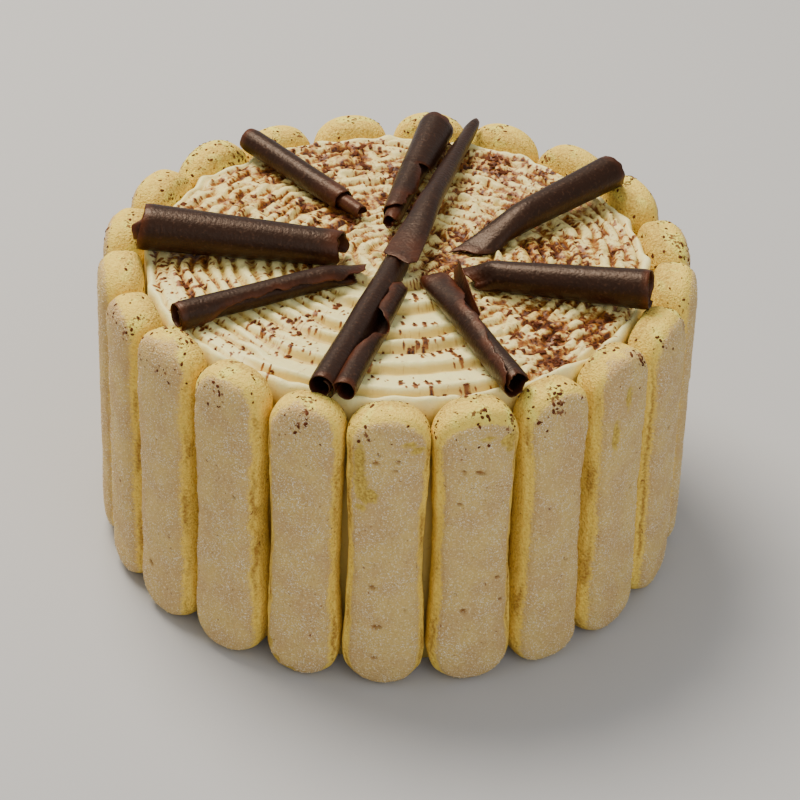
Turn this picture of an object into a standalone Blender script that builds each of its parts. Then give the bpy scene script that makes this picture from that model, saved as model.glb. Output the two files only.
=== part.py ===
# Tiramisu charlotte: a round cake topped with combed cream, held in a ring of ladyfingers that stand
# on end with their sugared crowns outwards, and nine dark chocolate curls laid on it like spokes.
# Metres, +Z up. The origin is the centre of the flat base, and the photograph looks along +Y.

import math
import random

import bpy
import bmesh
from mathutils import Euler, Matrix, Vector

MM = 0.001
GAP = 0.3 * MM

# The ring of biscuits. A row is one biscuit: the width of its place in the ring, its height and how far
# its top leans to the right, seen from outside, all in millimetres. They run anticlockwise from above,
# from the one at the far left.
RING_RADIUS = 95.5 * MM
RING_START = math.radians(187.8)
BISCUIT_THICKNESS = 17 * MM
BISCUIT_WAIST = 0.10
BISCUITS = [
    (28.0, 110.5, 0.6),
    (26.5, 109.5, 1.5),
    (29.0, 111.5, 0.8),
    (28.6, 112.0, 0.2),
    (26.8, 109.0, -0.2),
    (28.8, 109.0, 0.4),
    (29.8, 110.0, 1.2),
    (26.8, 110.5, 1.7),
    (28.6, 112.0, 1.0),
    (31.0, 110.5, 0.4),
    (29.2, 110.5, -0.4),
    (31.2, 110.0, 0.6),
    (31.0, 111.5, -0.4),
    (31.0, 111.0, 0.4),
    (28.8, 110.5, -0.4),
    (30.0, 110.5, 0.4),
    (29.2, 109.0, 0.0),
    (29.4, 109.0, -0.6),
    (29.4, 111.0, 0.4),
    (29.6, 111.5, -0.4),
    (29.6, 111.0, 0.5),
]
WIDEST_RADIUS = RING_RADIUS + 2 * MM
SIDE_CLEARANCE = 1.3 * MM

# The cake inside the ring: level of the hollows in the combed cream, and the radius at which each ridge
# crests, in millimetres. Every second ridge sinks away on the side where the broad terraces are.
CREAM_RADIUS = RING_RADIUS - BISCUIT_THICKNESS / 2 - 2 * GAP
CREAM_LEVEL = 104.2 * MM
RIDGE_CRESTS = [16, 24.5, 33, 41, 49, 57, 65.5, 73.5, 81.5]
RIDGE_HEIGHT = 2.7 * MM
FALL_WIDTH = 2.6 * MM
RIM_LIFT = 0.9 * MM
TERRACE_SIDE = math.radians(266)
CREAM_STEPS = 60
FOLDS_ROUND = 15
FOLD_HEIGHT = 0.2 * MM

# The chocolate curls. Each is a rolled sheet, from its outer end to its inner end, in millimetres:
# end points seen from above, the height of the underside there, and the roll's radius there. The seam
# is where the outer lip lies, in degrees. A slide draws the inner layers out of the roll, at the inner
# end if it is above 0, and a point does the same to the middle of the sheet. A twin has a second roll
# on its right: its size and length beside the first one's, and its turns.
SHEET_THICKNESS = 0.9 * MM
LAYER_PITCH = 1.6 * MM
POINT_LENGTH = 22 * MM
CURLS = {
    "chocolate_curl_back_left": dict(
        outer=(-56.5, 69.6, 108.9), inner=(-20.8, 30.4, 106.6),
        radii=(4.9, 4.6), turns=1.3, seam=235, slide=11),
    "chocolate_curl_left": dict(
        outer=(-86.3, 0, 108.0), inner=(-19.5, -5, 106.7),
        radii=(8.6, 6.4), turns=1.4, seam=160, slide=-4),
    "chocolate_curl_front_left": dict(
        outer=(-72.6, -49, 107.1), inner=(-9.6, -13.3, 107.2),
        radii=(5.1, 4.4), turns=1.3, seam=80, point=0.4),
    "chocolate_curl_front": dict(
        outer=(-19.2, -88.8, 107.6), inner=(2.2, -8.4, 107.2),
        radii=(4.4, 4.1), turns=1.2, twin=(0.8, 0.8, 0.66)),
    "chocolate_curl_back": dict(
        outer=(26.3, 90, 109.0), inner=(1.6, -14.5, 114.4),
        radii=(2.4, 4.7), turns=1.05, seam=330, point=-0.3),
    "chocolate_curl_back_middle": dict(
        outer=(12, 82.4, 107.8), inner=(-2.8, 21, 107.2),
        radii=(6.4, 4.6), turns=1.25, seam=200, slide=5),
    "chocolate_curl_right": dict(
        outer=(76.5, 50.5, 110.0), inner=(20.5, 0.4, 106.1),
        radii=(6.6, 4.7), turns=1.3, seam=240, point=0.35),
    "chocolate_curl_front_right": dict(
        outer=(86, -29.5, 108.7), inner=(23.5, -16.5, 106.5),
        radii=(7.1, 5.5), turns=1.3, seam=240, point=0.5),
    "chocolate_curl_front_middle": dict(
        outer=(39.5, -83.3, 107.4), inner=(11.6, -18.2, 107.2),
        radii=(5.1, 4.9), turns=1.35, seam=40, point=0.3),
}

# Crumbs of grated chocolate and cocoa that show from a step away.
CRUMB_PLACES = 110
CRUMB_SIZE = 1.1 * MM
CRUMB_SEED = 7

CREAM_COLOUR = (0.86, 0.80, 0.62)
BISCUIT_COLOUR = (0.80, 0.62, 0.33)
CHOCOLATE_COLOUR = (0.045, 0.022, 0.014)


def clear_scene():
    for old in list(bpy.data.objects):
        bpy.data.objects.remove(old, do_unlink=True)


def new_collection(name):
    collection = bpy.data.collections.new(name)
    bpy.context.scene.collection.children.link(collection)
    return collection


def new_material(name, colour, roughness):
    material = bpy.data.materials.new(name)
    material.use_nodes = True
    shader = material.node_tree.nodes["Principled BSDF"]
    shader.inputs["Base Color"].default_value = (*colour, 1)
    shader.inputs["Roughness"].default_value = roughness
    shader.inputs["Metallic"].default_value = 0
    return material


def new_object(name, mesh, collection, material):
    obj = bpy.data.objects.new(name, mesh)
    collection.objects.link(obj)
    mesh.materials.clear()
    mesh.materials.append(material)
    return obj


def signed_power(value, power):
    return math.copysign(abs(value) ** power, value)


# Ladyfingers

# Half sizes across a biscuit at one turn round it, from the sugared crown (0) to the flat back (pi).
# The back is squarer and narrower than the crown, because the ring closes in on that side.
def biscuit_outline(turn):
    across, out = math.sin(turn), math.cos(turn)
    if out >= 0:
        return signed_power(across, 0.8), 0.2 + 0.8 * out ** 0.85
    squeeze = 1 - 0.10 * -out
    return signed_power(across, 0.5) * squeeze, 0.2 - 1.2 * (-out) ** 0.4


# A ladyfinger standing on its rounded end, crown towards +Y: a ball drawn out into a long loaf with
# half-round ends and a narrower waist.
def biscuit_mesh(name, width, height):
    shoulder = math.radians(36)
    cap = 0.5 * width
    straight = height / 2 - cap
    bm = bmesh.new()
    bmesh.ops.create_uvsphere(bm, u_segments=16, v_segments=10, radius=1)
    for vertex in bm.verts:
        latitude = math.asin(max(-1.0, min(1.0, vertex.co.z)))
        across, out = biscuit_outline(math.atan2(vertex.co.x, vertex.co.y))
        if abs(latitude) > shoulder:
            bend = (abs(latitude) - shoulder) / (math.pi / 2 - shoulder) * math.pi / 2
            reach = straight + cap * math.sin(bend)
            shrink = math.cos(bend)
        else:
            reach = straight * abs(latitude) / shoulder
            shrink = 1
        pinch = 1 - BISCUIT_WAIST * math.cos(math.pi / 2 * min(1, reach / straight)) ** 2
        vertex.co = (
            across * width / 2 * shrink * pinch,
            out * BISCUIT_THICKNESS / 2 * shrink,
            height / 2 + math.copysign(reach, latitude),
        )
    mesh = bpy.data.meshes.new(name)
    bm.to_mesh(mesh)
    bm.free()
    mesh.shade_smooth()
    return mesh


def lowest_point(obj):
    turned = obj.rotation_euler.to_matrix()
    return min((turned @ vertex.co).z for vertex in obj.data.vertices)


def build_biscuits(collection, material):
    ring_length = sum(width for width, _, _ in BISCUITS)
    angle = RING_START
    previous = None
    for number, (place, height, lean) in enumerate(BISCUITS, 1):
        slot = 2 * math.pi * place / ring_length
        if previous is not None:
            angle += (previous + slot) / 2
        previous = slot
        name = f"ladyfinger_{number:02d}"
        width = 2 * WIDEST_RADIUS * math.tan(slot / 2) - SIDE_CLEARANCE
        obj = new_object(name, biscuit_mesh(name, width, height * MM), collection, material)
        obj.rotation_euler = Euler((0, math.asin(lean / height), angle - math.pi / 2), "XYZ")
        obj.location = (
            RING_RADIUS * math.cos(angle),
            RING_RADIUS * math.sin(angle),
            -lowest_point(obj),
        )


# Cream and cake

# Radius and height of each point of the half section, from the middle of the top, over the ridges and
# the rim, down the wall to the middle of the base. A ridge rises gently outwards and falls steeply.
def cream_section():
    points = [(0, CREAM_LEVEL + 0.6 * RIDGE_HEIGHT), (7 * MM, CREAM_LEVEL)]
    for crest in RIDGE_CRESTS:
        points.append((crest * MM, CREAM_LEVEL + RIDGE_HEIGHT))
        points.append((crest * MM + FALL_WIDTH, CREAM_LEVEL))
    rim = CREAM_LEVEL + RIM_LIFT
    points += [(CREAM_RADIUS, rim), (CREAM_RADIUS, rim / 2), (CREAM_RADIUS, 0)]
    points += [(CREAM_RADIUS / 2, 0), (0, 0)]
    return points


# How far the ridge at this radius has sunk away at this angle, from 0 to 1.
def sunk(radius, angle):
    passed = sum(1 for crest in RIDGE_CRESTS if crest * MM < radius + 0.1 * MM)
    if passed % 2:
        return 0
    return max(0, math.cos(angle - TERRACE_SIDE)) ** 4


# The combing strays from true circles, and low folds run across it.
def stir(point):
    radius = math.hypot(point.x, point.y)
    if point.z < CREAM_LEVEL / 1.5 or radius < 1 * MM:
        return point
    angle = math.atan2(point.y, point.x)
    inside = max(0, math.sin(math.pi * min(1, radius / (82 * MM))))
    stray = (1.1 * math.sin(2 * angle + 0.6) + 0.7 * math.sin(5 * angle + 60 * radius)) * MM * inside
    gone = sunk(radius, angle)
    share = (0.8 + 0.2 * math.sin(3 * angle + 95 * radius)) * (1 - gone) + 0.4 * gone
    rise = point.z - CREAM_LEVEL
    height = CREAM_LEVEL + rise * share + 0.3 * gone * max(0, RIDGE_HEIGHT - rise)
    height += FOLD_HEIGHT * inside * math.sin(FOLDS_ROUND * angle + 120 * radius)
    scale = (radius + stray) / radius
    return Vector((point.x * scale, point.y * scale, height))


def build_cream(collection, material):
    section = bpy.data.meshes.new("cream_section")
    points = [(radius, 0, height) for radius, height in cream_section()]
    section.from_pydata(points, [(i, i + 1) for i in range(len(points) - 1)], [])
    turned = new_object("cream_turned", section, collection, material)
    screw = turned.modifiers.new("Screw", "SCREW")
    screw.steps = screw.render_steps = CREAM_STEPS
    screw.use_merge_vertices = True
    screw.merge_threshold = 0.00001
    graph = bpy.context.evaluated_depsgraph_get()
    mesh = bpy.data.meshes.new_from_object(turned.evaluated_get(graph))
    bpy.data.objects.remove(turned)
    for vertex in mesh.vertices:
        vertex.co = stir(vertex.co)
    mesh.shade_smooth()
    return new_object("cream_cake", mesh, collection, material)


# Chocolate curls

def mix(first, second, share):
    return first + (second - first) * share


# A roll across its length: share 0 is the free outer lip and share 1 the end inside the roll.
# Returned as sideways and height above the underside, for a roll of that radius.
def roll_point(share, radius, turns, seam):
    angle = seam + 2 * math.pi * turns * share
    here = radius - LAYER_PITCH * turns * share
    underside = radius - LAYER_PITCH * ((-math.pi / 2 - seam) / (2 * math.pi) % 1)
    return here * math.cos(angle), underside + here * math.sin(angle)


# Two rolls side by side, rolled up from both edges of one sheet that joins them underneath. Share 0 is
# the end inside the first roll and share 1 the lip of the second one.
def twin_point(share, radius, turns, twin):
    second = share > 0.5
    side = -1 if second else 1
    size = radius * twin[0] if second else radius
    wound = 2 * abs(share - 0.5) * (twin[2] if second else turns)
    angle = -math.pi / 2 + side * 2 * math.pi * wound
    here = size - LAYER_PITCH * max(0, wound - 0.5)
    middle = side * (size + SHEET_THICKNESS * 0.8)
    return middle + here * math.cos(angle), size + here * math.sin(angle)


# How far a point of the sheet moves along the roll, for its slide and its point.
def draw_out(curl, station, share):
    slide, point = curl.get("slide", 0) * MM, curl.get("point", 0)
    moved = slide * share * (station if slide > 0 else 1 - station)
    end = station if point > 0 else 1 - station
    return moved - point * POINT_LENGTH * abs(2 * share - 1) * max(0, 2 * end - 1)


# The sheet is a flat grid, rolled up along its width and tapered along its length.
def curl_mesh(name, curl, length):
    twin = curl.get("twin")
    bm = bmesh.new()
    bmesh.ops.create_grid(bm, x_segments=4, y_segments=22 if twin else 15, size=0.5)
    for vertex in bm.verts:
        station, share = vertex.co.x + 0.5, vertex.co.y + 0.5
        radius = mix(curl["radii"][0], curl["radii"][1], station) * MM
        if twin:
            sideways, height = twin_point(share, radius, curl["turns"], twin)
            run = length * station * (twin[1] if share > 0.5 else 1)
        else:
            sideways, height = roll_point(share, radius, curl["turns"], math.radians(curl["seam"]))
            run = length * station + draw_out(curl, station, share)
        vertex.co = (run, sideways, height + SHEET_THICKNESS / 2)
    bmesh.ops.recalc_face_normals(bm, faces=bm.faces)
    mesh = bpy.data.meshes.new(name)
    bm.to_mesh(mesh)
    bm.free()
    mesh.shade_smooth()
    return mesh


def build_curl(name, curl, collection, material):
    outer, inner = Vector(curl["outer"]) * MM, Vector(curl["inner"]) * MM
    obj = new_object(name, curl_mesh(name, curl, (inner - outer).length), collection, material)
    forward = (inner - outer).normalized()
    left = Vector((0, 0, 1)).cross(forward).normalized()
    obj.rotation_euler = Matrix((forward, left, forward.cross(left))).transposed().to_euler("XYZ")
    obj.location = outer
    wall = obj.modifiers.new("Wall", "SOLIDIFY")
    wall.thickness = SHEET_THICKNESS
    wall.offset = 0


# Crumbs

def near_a_curl(point, room):
    for curl in CURLS.values():
        start, end = Vector(curl["outer"][:2]) * MM, Vector(curl["inner"][:2]) * MM
        along = end - start
        share = max(0, min(1, (point - start).dot(along) / along.length_squared))
        reach = max(curl["radii"]) * MM * (2.2 if curl.get("twin") else 1)
        if (point - start - along * share).length < reach + room:
            return True
    return False


# Crumbs lie on a sunflower spiral over the cream, thinned at random and left out under the curls. One
# union fuses them to the cream.
def fuse_crumbs(cream, collection, material):
    draw = random.Random(CRUMB_SEED)
    crumbs = new_collection("crumbs")
    for index in range(CRUMB_PLACES):
        radius = 80 * MM * math.sqrt((index + 0.5) / CRUMB_PLACES)
        angle = index * math.radians(137.508)
        spot = Vector((radius * math.cos(angle), radius * math.sin(angle)))
        size = CRUMB_SIZE * draw.uniform(0.7, 1.5)
        tilt = Euler((draw.uniform(-0.4, 0.4), draw.uniform(-0.4, 0.4), draw.uniform(0, 6.28)))
        if near_a_curl(spot, 2.5 * MM):
            continue
        start = Vector((spot.x, spot.y, 1))
        hit, place, _, _ = cream.ray_cast(start, Vector((0, 0, -1)))
        if not hit:
            continue
        bm = bmesh.new()
        bmesh.ops.create_icosphere(bm, subdivisions=1, radius=1)
        bmesh.ops.scale(bm, vec=(size, size * 0.6, size * 0.4), verts=bm.verts)
        bmesh.ops.rotate(bm, matrix=tilt.to_matrix(), verts=bm.verts)
        bmesh.ops.translate(bm, vec=place, verts=bm.verts)
        mesh = bpy.data.meshes.new("crumb")
        bm.to_mesh(mesh)
        bm.free()
        new_object("crumb", mesh, crumbs, material)
    union = cream.modifiers.new("Crumbs", "BOOLEAN")
    union.operation = "UNION"
    union.operand_type = "COLLECTION"
    union.collection = crumbs
    union.solver = "EXACT"
    graph = bpy.context.evaluated_depsgraph_get()
    fused = bpy.data.meshes.new_from_object(cream.evaluated_get(graph))
    cream.modifiers.clear()
    cream.data = fused
    for crumb in list(crumbs.objects):
        bpy.data.objects.remove(crumb)
    bpy.data.collections.remove(crumbs)


def main():
    clear_scene()
    cake = new_collection("tiramisu_charlotte")
    cream_material = new_material("mascarpone_cream", CREAM_COLOUR, 0.55)
    biscuit_material = new_material("ladyfinger_sponge", BISCUIT_COLOUR, 0.85)
    chocolate_material = new_material("dark_chocolate", CHOCOLATE_COLOUR, 0.4)
    cream = build_cream(cake, cream_material)
    bpy.context.view_layer.update()
    fuse_crumbs(cream, cake, cream_material)
    build_biscuits(cake, biscuit_material)
    for name, curl in CURLS.items():
        build_curl(name, curl, cake, chocolate_material)


main()
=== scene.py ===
import math
import random

import bpy
from mathutils import Euler, Matrix, Vector, kdtree, noise


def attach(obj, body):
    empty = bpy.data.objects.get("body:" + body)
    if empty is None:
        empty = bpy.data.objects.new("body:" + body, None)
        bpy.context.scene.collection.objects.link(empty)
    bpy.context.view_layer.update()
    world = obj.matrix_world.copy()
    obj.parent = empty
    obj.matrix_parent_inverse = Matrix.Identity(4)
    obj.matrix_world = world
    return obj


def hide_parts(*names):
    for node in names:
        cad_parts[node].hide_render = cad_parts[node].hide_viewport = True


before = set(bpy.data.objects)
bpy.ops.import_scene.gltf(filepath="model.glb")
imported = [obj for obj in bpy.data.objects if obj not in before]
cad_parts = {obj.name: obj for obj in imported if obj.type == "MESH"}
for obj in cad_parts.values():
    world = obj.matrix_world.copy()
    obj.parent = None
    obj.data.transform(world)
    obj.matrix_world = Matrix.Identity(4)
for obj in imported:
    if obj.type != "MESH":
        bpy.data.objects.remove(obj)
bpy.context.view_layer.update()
mm = 0.001


# Small helpers that every piece uses. Shapes are worked out in millimetres

def linearColour(code):
    channels = [int(code[i:i + 2], 16) / 255 for i in (1, 3, 5)]
    return [c / 12.92 if c <= 0.04045 else ((c + 0.055) / 1.055) ** 2.4 for c in channels] + [1.0]


def linearTones(tones):
    return {name: linearColour(code) for name, code in tones.items()}


blendColours, softRange = {"data_type": "RGBA"}, {"interpolation_type": "SMOOTHSTEP"}


def addNode(tree, kind, settings=None, inputs=None):
    node = tree.nodes.new(kind)
    for name, value in (settings or {}).items():
        setattr(node, name, value)
    for socket, value in (inputs or {}).items():
        if isinstance(value, bpy.types.NodeSocket):
            tree.links.new(value, node.inputs[socket])
        else:
            node.inputs[socket].default_value = value
    return node


def newMaterial(name, sockets):
    material = bpy.data.materials.new(name)
    material.use_nodes = True
    shader = material.node_tree.nodes["Principled BSDF"]
    for socket, value in sockets.items():
        shader.inputs[socket].default_value = value
    return material, material.node_tree, shader


def between(low, high, value):
    share = max(0.0, min(1.0, (value - low) / (high - low)))
    return share * share * (3 - 2 * share)


def mix(first, second, share):
    return first + (second - first) * share


# Gradient noise at a real size: wave is its spacing in millimetres, and the result is about -1 to 1
def wander(x, y, z, wave, seed=0):
    return 1.6 * noise.noise(Vector((x / wave + 17.3 * seed, y / wave - 9.1 * seed, z / wave + 4.7 * seed)))


# Lumps of several sizes together, from rows of height, wave and seed
def lumps(x, y, z, rows):
    return sum(height * wander(x, y, z, wave, seed) for height, wave, seed in rows)


def newPiece(name, points, faces, materials, attributes=None):
    mesh = bpy.data.meshes.new(name)
    mesh.from_pydata([[c * mm for c in point] for point in points], [], faces)
    for key, values in (attributes or {}).items():
        mesh.attributes.new(key, "FLOAT", "POINT").data.foreach_set("value", values)
    for material in materials:
        mesh.materials.append(material)
    mesh.shade_smooth()
    piece = bpy.data.objects.new(name, mesh)
    bpy.context.scene.collection.objects.link(piece)
    return piece


# Runs a tree on a piece and keeps the plain mesh that comes out
def growTree(piece, tree, values):
    modifier = piece.modifiers.new(tree.name, "NODES")
    modifier.node_group = tree
    for item in tree.interface.items_tree:
        if item.in_out == "INPUT" and item.name in values:
            modifier[item.identifier] = values[item.name]
    graph = bpy.context.evaluated_depsgraph_get()
    grown = bpy.data.meshes.new_from_object(piece.evaluated_get(graph))
    piece.modifiers.remove(modifier)
    old = piece.data
    piece.data = grown
    bpy.data.meshes.remove(old)


def newTree(name, sockets):
    tree = bpy.data.node_groups.new(name, "GeometryNodeTree")
    tree.interface.new_socket(name="Geometry", in_out="INPUT", socket_type="NodeSocketGeometry")
    for label, kind in sockets.items():
        tree.interface.new_socket(name=label, in_out="INPUT", socket_type="NodeSocket" + kind)
    tree.interface.new_socket(name="Geometry", in_out="OUTPUT", socket_type="NodeSocketGeometry")
    return tree, addNode(tree, "NodeGroupInput")


# Camera, floor and light, in degrees and metres, but the floor's half width and level in millimetres

studio = dict(
    elevation=34.06, roll=1.98, distance=1.093, target=(0.0023, 0, 0.0479), lens=138.6,
    floor="#bcbdbe", floorHalf=6000, floorLevel=-0.2, room="#e8e6e2", roomStrength=0.6, aim=(0, 0, 0.08),
    key=dict(place=(-0.45, 0.5, 1.3), size=0.8, power=30, colour="#fff4e4"),
    fill=dict(place=(0.5, -1.1, 0.75), size=1.3, power=6, colour="#eef3ff"),
)


def placeCamera():
    tilt, roll = math.radians(studio["elevation"]), math.radians(studio["roll"])
    target = Vector(studio["target"])
    place = target + studio["distance"] * Vector((0, -math.cos(tilt), math.sin(tilt)))
    forward = (target - place).normalized()
    side, up = Vector((1, 0, 0)), Vector((1, 0, 0)).cross(forward)
    right = math.cos(roll) * side + math.sin(roll) * up
    top = math.cos(roll) * up - math.sin(roll) * side
    data = bpy.data.cameras.new("camera")
    data.lens, data.sensor_width, data.clip_start = studio["lens"], 36, 0.01
    camera = bpy.data.objects.new("camera", data)
    camera.matrix_world = Matrix.Translation(place) @ Matrix((right, top, -forward)).transposed().to_4x4()
    bpy.context.scene.collection.objects.link(camera)
    bpy.context.scene.camera = camera


def placeLight(name, spec):
    data = bpy.data.lights.new(name, "AREA")
    data.shape, data.size, data.energy = "DISK", spec["size"], spec["power"]
    data.color = linearColour(spec["colour"])[:3]
    light = bpy.data.objects.new(name, data)
    light.location = spec["place"]
    light.rotation_euler = (Vector(studio["aim"]) - light.location).to_track_quat("-Z", "Y").to_euler()
    bpy.context.scene.collection.objects.link(light)


def layFloor():
    material = newMaterial("paleStudioFloor", {
        "Base Color": linearColour(studio["floor"]), "Roughness": 0.85})[0]
    half, level = studio["floorHalf"], studio["floorLevel"]
    corners = [(-half, -half, level), (half, -half, level), (half, half, level), (-half, half, level)]
    newPiece("studioFloor", corners, [(0, 1, 2, 3)], [material])


def lightRoom():
    world = bpy.data.worlds.new("room")
    world.use_nodes = True
    background = world.node_tree.nodes["Background"]
    background.inputs["Color"].default_value = linearColour(studio["room"])
    background.inputs["Strength"].default_value = studio["roomStrength"]
    bpy.context.scene.world = world


placeCamera()
layFloor()
lightRoom()
placeLight("keyLight", studio["key"])
placeLight("fillLight", studio["fill"])
print("studio: camera, floor and lights are in place")


# The ring of ladyfingers: where each one stands. A row is the width of its place, its height and how far
# its top leans to the right, in millimetres, anticlockwise from the one at the far left
ring = dict(
    radius=94.9, start=187.8, widestRadius=97.5, sideClearance=1.3, thickness=17, waist=0.10,
    rows=[
        (28.0, 110.5, 0.6), (26.5, 109.5, 1.5), (29.0, 111.5, 0.8), (28.6, 112.0, 0.2),
        (26.8, 109.0, -0.2), (28.8, 109.0, 0.4), (29.8, 110.0, 1.2), (26.8, 110.5, 1.7),
        (28.6, 112.0, 1.0), (31.0, 110.5, 0.4), (29.2, 110.5, -0.4), (31.2, 110.0, 0.6),
        (31.0, 111.5, -0.4), (31.0, 111.0, 0.4), (28.8, 110.5, -0.4), (30.0, 110.5, 0.4),
        (29.2, 109.0, 0.0), (29.4, 109.0, -0.6), (29.4, 111.0, 0.4), (29.6, 111.5, -0.4),
        (29.6, 111.0, 0.5),
    ],
)


def standingPlaces():
    whole = sum(row[0] for row in ring["rows"])
    angle, previous, places = math.radians(ring["start"]), None, []
    for place, height, lean in ring["rows"]:
        slot = 2 * math.pi * place / whole
        if previous is not None:
            angle += (previous + slot) / 2
        previous = slot
        width = 2 * ring["widestRadius"] * math.tan(slot / 2) - ring["sideClearance"]
        places.append(dict(angle=angle, slot=slot, width=width, height=height, lean=lean))
    return places


places = standingPlaces()
gapAngles = [place["angle"] + place["slot"] / 2 for place in places]


# The chocolate curls. Each is one or more rolled sheets. Millimetres and degrees: the outer and inner end
# with the height of the underside, the roll's radius at each end, the turns, and where the free lip lies at
# each end (0 is the roll's left side as seen from its outer end, 90 its top). wound is 1 clockwise and -1
# anticlockwise. lip, outerCut and innerCut are short profiles: how much of the sheet is broken away along
# the roll, and how far the ends stand out across the sheet. press flattens the ends (the inner one from
# the place pressFrom), lift opens the lip, ragged is how far the ends are chipped, and dust how far cocoa
# lies on them
curls = {
    "chocolate_curl_back_left": [dict(
        outer=(-55.8, 69.1, 108.7), inner=(-19.8, 30.8, 106.7), radii=(4.9, 4.7), turns=1.9,
        seam=(310, 300), wound=1,
        innerCut=[(0, -1), (0.3, -0.5), (0.45, -1), (0.52, 6), (0.6, 9), (1, 10)], ragged=(0.3, 0.8),
        dust=(0, 16))],
    "chocolate_curl_left": [dict(
        outer=(-87.6, -0.1, 108.0), inner=(-19.5, -5, 106.7), radii=(8.6, 6.6), turns=1.65,
        seam=(320, 320), wound=1,
        outerCut=[(0, 1.0), (0.22, -0.3), (0.52, 2.2), (0.75, 0.3), (0.87, 0), (0.92, 3.2), (1, 2.8)],
        innerCut=[(0, 0), (0.35, -0.5), (0.6, -2), (1, -3)], ragged=(0.3, 1.3), dust=(0, 9))],
    "chocolate_curl_front_left": [dict(
        outer=(-72.6, -49, 107.1), inner=(-9.6, -13.3, 107.0), radii=(5.2, 4.7), turns=1.35,
        seam=(240, 225), wound=-1,
        lip=[(0, 0), (0.12, 0.06), (0.28, 0.175), (0.6, 0.18), (0.8, 0.15), (1, 0.25)], lift=(0.1, 0.4),
        press=(0, 0.55), pressFrom=0.75, innerCut=[(0, -8), (0.25, -2), (0.42, 1), (0.6, -5), (1, -9)],
        ragged=(0.15, 0.7), dust=(0, 8))],
    "chocolate_curl_front": [
        dict(outer=(-23.3, -88.1, 107.5), inner=(-0.2, -8.4, 107.2), radii=(4.95, 4.75), turns=1.4,
             seam=(255, 255), wound=-1, ragged=(0.15, 0.5), dust=(0, 3)),
        dict(outer=(-15.4, -89.2, 107.5), inner=(0.8, -24.9, 107.2), radii=(4.1, 3.4), turns=0.95,
             seam=(20, 40), wound=1,
             lip=[(0, 0.0), (0.14, 0.02), (0.3, 0.08), (0.44, 0.2), (0.54, 0.38), (0.60, 0.44),
                  (0.635, 0.2), (0.72, 0.07), (0.85, 0.1), (1, 0.02)],
             lift=(0.3, 0.9), outerCut=[(0, 1.0), (0.3, 0.5), (1, 0)],
             innerCut=[(0, -2), (0.4, 0), (1, -3)], ragged=(0.2, 0.8), dust=(0, 4))],
    "chocolate_curl_back": [dict(
        outer=(26.3, 90, 109.0), inner=(1.6, -14.5, 114.3), radii=(2.7, 4.9), turns=1.15, seam=(225, 200),
        wound=-1,
        lip=[(0, 0.03), (0.1, 0), (0.25, 0.05), (0.34, 0.01), (0.45, 0.06), (0.55, 0.01), (0.64, 0.07),
             (0.72, 0.03), (1, 0)],
        lift=(0.7, 1.5), press=(0, 0.86), outerCut=[(0, -6), (0.4, 0), (0.7, -4), (1, -8)],
        innerCut=[(0, -3), (0.3, 2.0), (0.5, 0), (0.65, -3), (0.8, -6), (1, -9)], ragged=(0.6, 1.1),
        dust=(0, 22))],
    "chocolate_curl_back_middle": [dict(
        outer=(11.9, 82.2, 107.8), inner=(-2.4, 22, 107.3), radii=(6.7, 4.6), turns=2.1, seam=(330, 345),
        wound=1, lip=[(0, 0), (0.42, 0), (0.5, 0.03), (0.56, 0.1), (0.7, 0.05), (1, 0.09)],
        lift=(0.1, 0.4), outerCut=[(0, 0), (0.15, -1.5), (0.3, -0.5), (0.5, 1), (1, 0)],
        innerCut=[(0, 0), (0.3, -1), (0.42, 0), (0.5, 5), (1, 6.5)], ragged=(0.9, 0.9), dust=(0, 14))],
    "chocolate_curl_right": [dict(
        outer=(75.5, 49.6, 110.0), inner=(20.5, 0.4, 106.2), radii=(6.6, 4.9), turns=1.3, seam=(240, 250),
        wound=1, press=(0, 0.8),
        outerCut=[(0, 0), (0.3, -0.5), (0.45, -2.2), (0.6, -0.5), (0.75, 0.8), (1, 0)],
        innerCut=[(0, -4), (0.1, -9), (0.22, -10), (0.4, -5), (0.6, 0.5), (0.75, -4), (1, -16)],
        ragged=(0.9, 0.5), dust=(0, 6))],
    "chocolate_curl_front_right": [dict(
        outer=(85.6, -29.4, 108.7), inner=(20.5, -15.2, 106.4), radii=(7.2, 5.0), turns=1.3,
        seam=(240, 240), wound=1, press=(0, 0.5), pressFrom=0.82,
        outerCut=[(0, 0), (0.3, -0.3), (0.45, -1.2), (0.6, -0.3), (1, -1)],
        innerCut=[(0, -5), (0.15, -9), (0.3, -7), (0.48, -2), (0.62, 2), (0.75, -4), (1, -16)],
        ragged=(0.2, 0.6), dust=(0, 7))],
    "chocolate_curl_front_middle": [
        dict(outer=(39.5, -83.3, 107.4), inner=(11.6, -18.2, 107.2), radii=(5.1, 4.6), turns=1.35,
             seam=(60, 150), wound=-1,
             lip=[(0, 0), (0.2, 0.02), (0.45, 0.0), (0.6, 0.05), (0.75, 0.0), (1, 0.02)], lift=(0.4, 1.2),
             press=(0, 0.3), outerCut=[(0, 0), (0.2, 1.2), (0.4, -0.5), (0.7, 1), (1, 0)],
             innerCut=[(0, -3), (0.3, 0), (0.6, -2), (1, -6)], ragged=(1.3, 0.8), dust=(2, 8)),
        dict(outer=(21.6, -41.0, 107.9), inner=(14.6, -18.0, 107.9), radii=(4.9, 5.2), turns=0.3,
             seam=(170, 130), wound=1, lift=(0.2, 2.6), outerCut=[(0, 5), (0.5, 1), (1, -4)],
             innerCut=[(0, -2), (0.5, 1), (1, -5)], ragged=(0.9, 0.8), dust=(2, 8))],
}


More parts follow.
